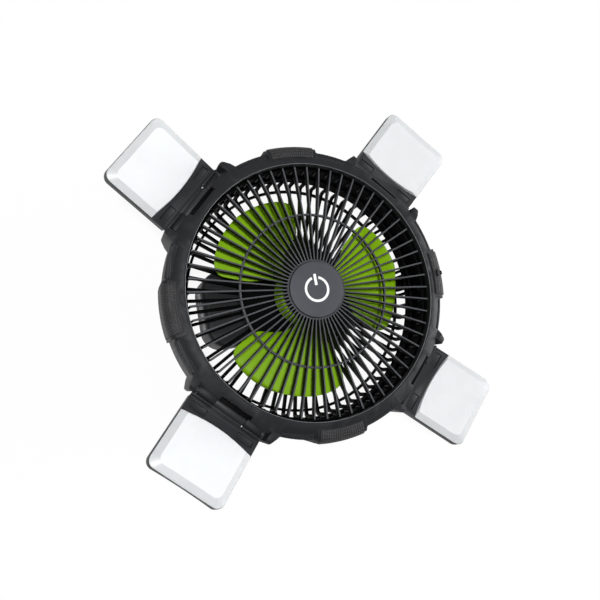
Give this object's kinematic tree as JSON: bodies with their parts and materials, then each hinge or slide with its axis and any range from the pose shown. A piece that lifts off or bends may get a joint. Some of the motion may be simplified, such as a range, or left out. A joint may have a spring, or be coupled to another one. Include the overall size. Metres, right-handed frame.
{
  "type": "portable camping fan with light panels",
  "caption": "Round rechargeable camping fan lying face up on its battery pack, with ribbed grilles, a bladed rotor, a hub power button and hinged light panels round its ring.",
  "frame": {"origin": "centre of the bounding box in plan, on the plane of the rubber feet", "axes": "+Z along the fan axis towards the front, +Y towards the top of the face, +X to the right of the face"},
  "size_m": [0.27, 0.27, 0.08],
  "materials": {
    "ring_plastic": "fine moulded grain",
    "duct_plastic": "satin",
    "grille_plastic": "satin",
    "button_plastic": "satin with a white power mark",
    "switch_plastic": "satin",
    "circuit_board": "satin",
    "led_board": "satin",
    "lime_plastic": "gloss",
    "steel": "brushed",
    "motor_steel": "brushed",
    "copper": "enamelled windings",
    "bronze": "sintered",
    "magnet": "matt",
    "pack_plastic": "fine moulded grain",
    "cell_wrap": "shrink wrap",
    "cradle_plastic": "satin",
    "bezel_plastic": "satin",
    "tray_plastic": "satin",
    "diffuser_plastic": "milky and translucent",
    "window_plastic": "gloss",
    "rubber_black": "matt with a fine grid"
  },
  "bodies": {
    "housing": {"housing_ring": "ring_plastic", "duct_liner": "duct_plastic", "front_grille": "grille_plastic", "button_switch": "switch_plastic", "button_board": "circuit_board", "hub_cup": "grille_plastic", "motor_can": "motor_steel", "motor_magnets": "magnet", "motor_end_cap": "duct_plastic", "front_bush": "bronze", "rear_bush": "bronze", "rear_grille": "duct_plastic", "pack_case": "pack_plastic", "pack_back": "pack_plastic", "battery_cells": "cell_wrap", "cell_cradle": "cradle_plastic", "control_board": "circuit_board", "usb_c_port": "steel", "usb_a_port": "steel", "port_bezel": "bezel_plastic", "hook_pin": "steel", "rubber_feet": "rubber_black", "grip_pad_right": "rubber_black", "grip_pad_top": "rubber_black", "grip_pad_left": "rubber_black", "grip_pad_bottom": "rubber_black", "remote_window": "window_plastic", "ring_screws": "steel", "pack_screws": "steel", "hinge_pin_1": "steel", "hinge_pin_2": "steel", "hinge_pin_3": "steel", "hinge_pin_4": "steel"},
    "rotor": {"fan_rotor": "lime_plastic", "motor_shaft": "steel", "motor_armature": "copper"},
    "button": {"power_button": "button_plastic", "button_tip": "rubber_black"},
    "hook": {"hanging_hook": "tray_plastic"},
    "panel_1": {"light_tray_1": "tray_plastic", "diffuser_1": "diffuser_plastic", "led_board_1": "led_board"},
    "panel_2": {"light_tray_2": "tray_plastic", "diffuser_2": "diffuser_plastic", "led_board_2": "led_board"},
    "panel_3": {"light_tray_3": "tray_plastic", "diffuser_3": "diffuser_plastic", "led_board_3": "led_board"},
    "panel_4": {"light_tray_4": "tray_plastic", "diffuser_4": "diffuser_plastic", "led_board_4": "led_board"}
  },
  "joints": [
    {"name": "fan_spin", "type": "hinge", "parent": "housing", "child": "rotor", "pos_m": [0, 0, 0.058], "axis": [0, 0, 1], "continuous": true},
    {"name": "button_press", "type": "slide", "parent": "housing", "child": "button", "axis": [0, 0, -1], "range_m": [0, 0.0008], "stiffness_N_per_m": 500, "springref_m": -0.0006},
    {"name": "panel_1_hinge", "type": "hinge", "parent": "housing", "child": "panel_1", "pos_m": [0.0746, 0.0746, 0.064], "axis": [0.7071, -0.7071, 0], "range_deg": [-104, 55]},
    {"name": "panel_2_hinge", "type": "hinge", "parent": "housing", "child": "panel_2", "pos_m": [-0.0746, 0.0746, 0.064], "axis": [0.7071, 0.7071, 0], "range_deg": [-104, 55]},
    {"name": "panel_3_hinge", "type": "hinge", "parent": "housing", "child": "panel_3", "pos_m": [-0.0746, -0.0746, 0.064], "axis": [-0.7071, 0.7071, 0], "range_deg": [-104, 55]},
    {"name": "panel_4_hinge", "type": "hinge", "parent": "housing", "child": "panel_4", "pos_m": [0.0746, -0.0746, 0.064], "axis": [-0.7071, -0.7071, 0], "range_deg": [-104, 55]},
    {"name": "hook_fold", "type": "hinge", "parent": "housing", "child": "hook", "pos_m": [0, -0.02, 0.003], "axis": [-1, 0, 0], "range_deg": [0, 100]}
  ]
}
